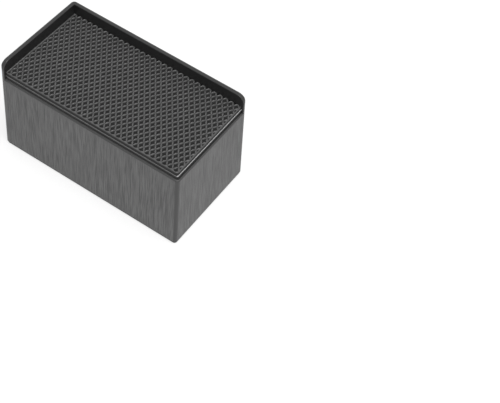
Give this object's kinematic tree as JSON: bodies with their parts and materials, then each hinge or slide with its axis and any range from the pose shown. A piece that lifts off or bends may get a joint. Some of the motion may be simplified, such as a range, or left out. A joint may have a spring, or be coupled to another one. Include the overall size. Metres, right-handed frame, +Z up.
{
  "type": "bed riser",
  "caption": "Moulded block that lifts a bed leg: leaning walls, an L-shaped rim on two sides, a diamond-lattice rubber mat on top and a rubber sole.",
  "frame": {"origin": "on the floor, under the middle of the block", "axes": "+X along the block, from the end with the rim to the open end; +Y across it, towards the long side with the rim; +Z up"},
  "size_m": [0.158, 0.085, 0.085],
  "materials": {
    "plastic": "satin, finely brushed walls",
    "mat_rubber": "matt",
    "sole_rubber": "matt"
  },
  "bodies": {
    "root": {"riser_body": "plastic", "grip_mat": "mat_rubber", "sole": "sole_rubber"}
  },
  "joints": []
}
